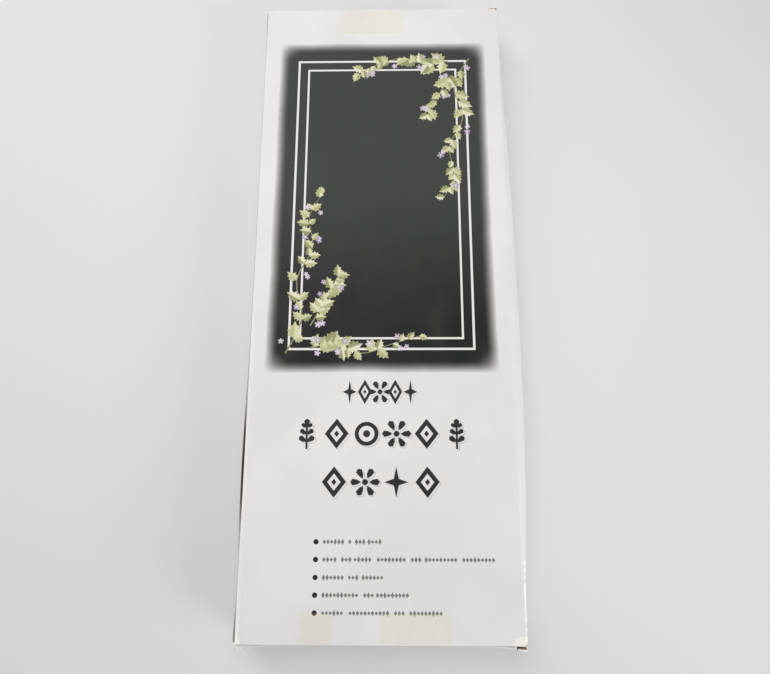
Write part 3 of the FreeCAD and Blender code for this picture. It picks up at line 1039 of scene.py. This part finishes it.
axisZ = ends["axisZ"]
axisY = closureFace - axisZ
for end, sign in (("top", 1), ("bottom", -1)):
    def hingePlace(x, share, depth):
        # Flat from the back's end, then round the crease to the closure's face.
        flat = 0.4
        if share < flat:
            return x, sign * (backEnd + (axisY - backEnd) * share / flat), depth
        y, z = onArc(axisY, axisZ, axisZ - depth, -90 + 90 * (share - flat) / (1 - flat))
        return x, sign * y, z

    foldSkin(end + "_closure", spread(closureLeft, closureRight, 30), hingePlace, 0.3,
             (0, sign * axisY, 0.0), (0, sign * closureFace, axisZ))

    def tuckPlace(x, share, depth):
        y, z = onArc(closureInside + springAt(x, tuckUnder, end), tuckUnder, board - depth, 90 * share)
        return x, sign * y, z

    run = ends["springRun"]
    across = spread(tuckLeft, tuckLeft + run, 14) + spread(tuckLeft + run + 10, tuckRight - run - 10, 8)
    across += spread(tuckRight - run, tuckRight, 14)
    foldSkin(end + "_tuck", across, tuckPlace, board - 0.1,
             (0, sign * closureFace, tuckUnder), (0, sign * closureInside, tuckHigh[2]))

    for side in ("left", "right"):
        low, high, toward, rootX = dustSpot(end, side)
        wallX = outerRight if side == "right" else outerLeft
        foldY = min(abs(low[1]), abs(high[1]))

        def dustPlace(z, share, depth):
            # On the left the fold leans out with the gaping seam.
            r = abs(wallX - rootX) * (1 - share) + board * share - depth
            dx, y = onArc(0, foldY, r, 90 * share)
            tilt = (z - foldRadius) / (top - board - 2 * foldRadius) if side == "left" else 0.0
            return rootX + toward * dx - gape(sign * foldY) * tilt * (1 - share), sign * y, z

        foldSkin(f"{end}_{side}_dust", spread(low[2], high[2], 10), dustPlace, board - 0.15,
                 (wallX, sign * foldY, ends["dustMiddle"]),
                 (rootX, sign * (foldY + board), ends["dustMiddle"]))
print("creases made")


# The tape's film and teeth, how far it runs over the fold, and how it lies on the board.

tape = {"film": 0.06, "tooth": 1.6, "toothDepth": 0.9, "lip": 1.5, "lift": 0.02, "frontWrinkle": 0.04,
        "endWrinkle": 0.03}


def tapePiece(label, body, place, length):
    # A thin film with a zig-zag end; place(x, v, lift) puts a point v along it, off the board.
    low, high = boxMm(label + "_tape")
    xs = spread(low[0], high[0], 2 * round((high[0] - low[0]) / tape["tooth"]))
    lines = [(x, tape["toothDepth"] * (i % 2), length) for i, x in enumerate(xs)]
    bm = bmesh.new()
    addSlab(bm, lines, [0, 0.08, 0.3, 0.6, 0.85, 0.92, 0.96, 1.0], place, tape["film"], 0.0, (0, 0, 0))
    seal(newObject(label + "_film", bm, [tapeFilm], 60), body, label + "_tape")


def tapeOnFront(sign, reach):
    def place(x, v, depth):
        y = frontEnd - reach + v
        base = frontPlace(x, sign * min(y, frontEnd), 0.0)
        wrinkle = tape["frontWrinkle"] * (1 + rough(x, sign * y, 11.0, 7.0))
        lift = tape["lift"] + depth + wrinkle * (1 - ease(-1.0, 0.0, y - frontEnd))
        over = max(y - frontEnd, 0.0)
        outward = 0.03 + depth + 0.2 * (1 - exp(-over)) if over > 0 else 0.0
        return x, base[1] + sign * outward, base[2] + lift - over
    return place


def tapeOnEnd(end, sign, topZ, reach):
    def place(x, v, depth):
        z = topZ - reach + v
        wrinkle = tape["endWrinkle"] * (1 + rough(x, z * sign, 10.0, 9.0))
        return x, sign * (closureFace + springAt(x, z, end) + tape["lift"] + depth + wrinkle), z
    return place


for end, sign, label in (("top", 1, "top"), ("bottom", -1, "bottom_left"), ("bottom", -1, "bottom_right")):
    low, high = boxMm(label + "_front_tape")
    reach = high[1] - low[1]
    tapePiece(label + "_front", "root", tapeOnFront(sign, reach), reach + tape["lip"])
    low, high = boxMm(label + "_end_tape")
    reach = high[2] - low[2]
    place = tapeOnEnd(end, sign, high[2], reach)
    tapePiece(label + "_end", end + "_closure", place, reach)
print("tape made")


# Floor, light and camera.

floorPaint, tree, place = newMaterial("studio floor")
cloud = addNoise(tree, place, 400, 2)
dress(tree, {"Base Color": addMix(tree, cloud, "#E5E3E2", "#E1DFDE"), "Roughness": 0.8})
bpy.ops.mesh.primitive_plane_add(size=40)
floor = bpy.context.object
floor.name = "floor"
floor.data.materials.append(floorPaint)

studio = {
    "world": 0.48, "backdrop": 0.8,
    "lamps": [("over", (-0.1, 0.2, 0.9), 2.85, 0.6, 180), ("right", (1.4, -0.9, 0.66), 4.5, 1.05, 100),
              ("window", (-0.8, 0.9, 0.8), 4.3, 0.9, 180)],
}
scene = bpy.context.scene
scene.world = bpy.data.worlds.new("studio")
scene.world.use_nodes = True
tree = scene.world.node_tree
background = tree.nodes["Background"].inputs
rays = addNode(tree, "LightPath").outputs
shown = rays["Is Camera Ray"]
for kind in ("Is Glossy Ray", "Is Transmission Ray"):
    shown = addMath(tree, "MAXIMUM", shown, rays[kind])
feed(tree, background["Color"], "#FFFFFF")
feed(tree, background["Strength"], addRamp(tree, shown, 0.0, 1.0, studio["world"], studio["backdrop"]))
for name, place, power, size, beam in studio["lamps"]:
    data = bpy.data.lights.new(name, "AREA")
    data.energy = power
    data.size = size
    data.spread = radians(beam)
    lamp = link(bpy.data.objects.new(name, data))
    lamp.location = place
    lamp.rotation_euler = (-Vector(place)).to_track_quat("-Z", "Y").to_euler()

# The photograph's view, from its four front corners.
view = {"place": (0.00685, -0.172494, 0.583485), "turn": (13.2539, 0.7965, 0.0961), "lens": 28.052}
cameraData = bpy.data.cameras.new("camera")
cameraData.lens = view["lens"]
cameraData.sensor_fit = "HORIZONTAL"
camera = link(bpy.data.objects.new("camera", cameraData))
camera.location = view["place"]
camera.rotation_euler = [radians(a) for a in view["turn"]]
scene.camera = camera
scene.view_settings.view_transform = "Standard"
print("stage made")
